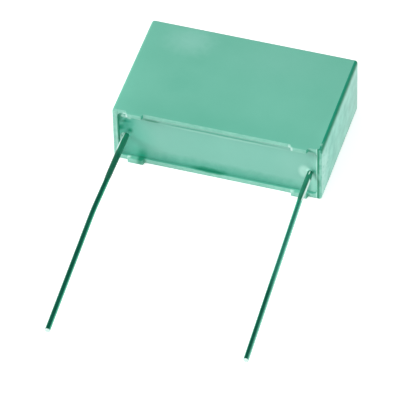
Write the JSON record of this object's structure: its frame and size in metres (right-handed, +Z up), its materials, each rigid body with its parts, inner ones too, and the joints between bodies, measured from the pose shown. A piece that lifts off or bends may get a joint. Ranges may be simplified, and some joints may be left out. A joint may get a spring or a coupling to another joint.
{
  "type": "box film capacitor",
  "caption": "Box film capacitor: a moulded rectangular cup on stand-off feet, potted with resin, with a flattened film winding inside and two long round wire leads.",
  "frame": {"origin": "middle of the large face that the case lies on", "axes": "+Z up through the case's thickness, +Y towards its closed end, so the leads point to -Y, and X along the case"},
  "size_m": [0.0316, 0.0586, 0.01],
  "materials": {
    "case_plastic": "moulded, soft gloss, sea green",
    "potting_resin": "cast resin, glossy, pale sea green",
    "wound_film": "metallised film, silvery",
    "sprayed_zinc": "rough sprayed metal",
    "tinned_wire": "drawn and tinned, bright"
  },
  "bodies": {
    "root": {"case": "case_plastic", "resin_fill": "potting_resin", "film_winding": "wound_film", "zinc_left": "sprayed_zinc", "zinc_right": "sprayed_zinc", "lead_left": "tinned_wire", "lead_right": "tinned_wire"}
  },
  "joints": []
}
